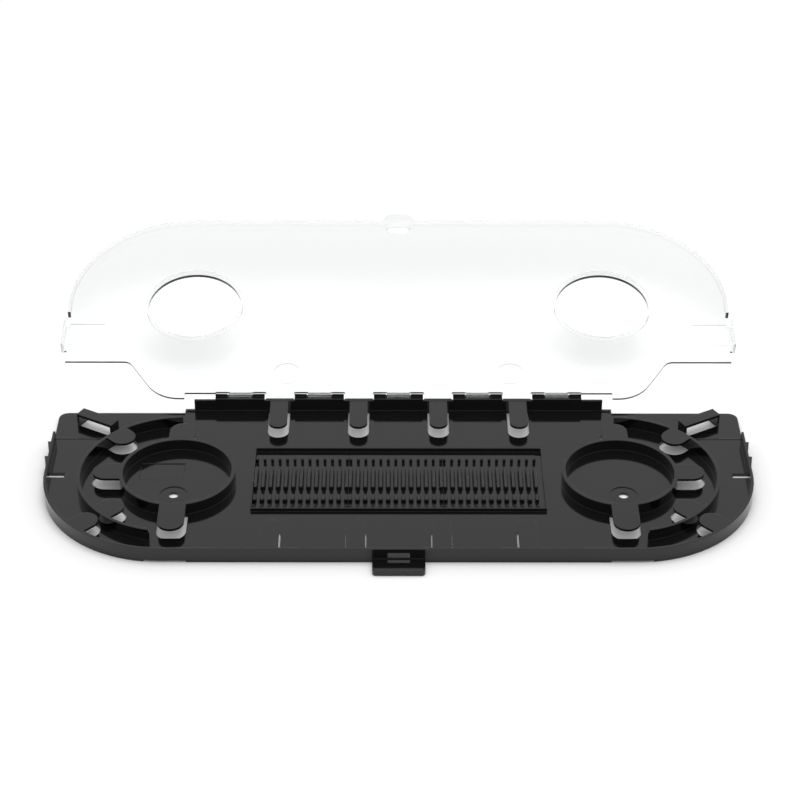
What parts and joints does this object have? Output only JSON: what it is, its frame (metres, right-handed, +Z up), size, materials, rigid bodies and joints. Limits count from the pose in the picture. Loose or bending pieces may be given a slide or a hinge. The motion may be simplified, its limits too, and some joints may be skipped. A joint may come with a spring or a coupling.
{
  "type": "fibre splice tray",
  "caption": "Flat moulded fibre splice tray with two round bobbins, curved guides, a central bank of ribbed splice slots and a clear hinged lid shown open.",
  "frame": {"origin": "on the underside of the base, midway between the two bobbin centres", "axes": "+X along the hinge axis towards the right bobbin, +Y towards the hinge, +Z up out of the base"},
  "size_m": [0.372, 0.2822, 0.046],
  "materials": {
    "black_plastic": "glossy black moulded plastic",
    "holder_plastic": "glossy black moulded plastic",
    "clear_plastic": "clear polycarbonate"
  },
  "bodies": {
    "base": {"tray": "black_plastic", "splice_holder_left": "holder_plastic", "splice_holder_middle": "holder_plastic", "splice_holder_right": "holder_plastic"},
    "cover": {"lid": "clear_plastic"}
  },
  "joints": [
    {"name": "lid_hinge", "type": "hinge", "parent": "base", "child": "cover", "pos_m": [0, 0.0692, 0.008], "axis": [1, 0, 0], "range_deg": [0, 166.5]}
  ]
}
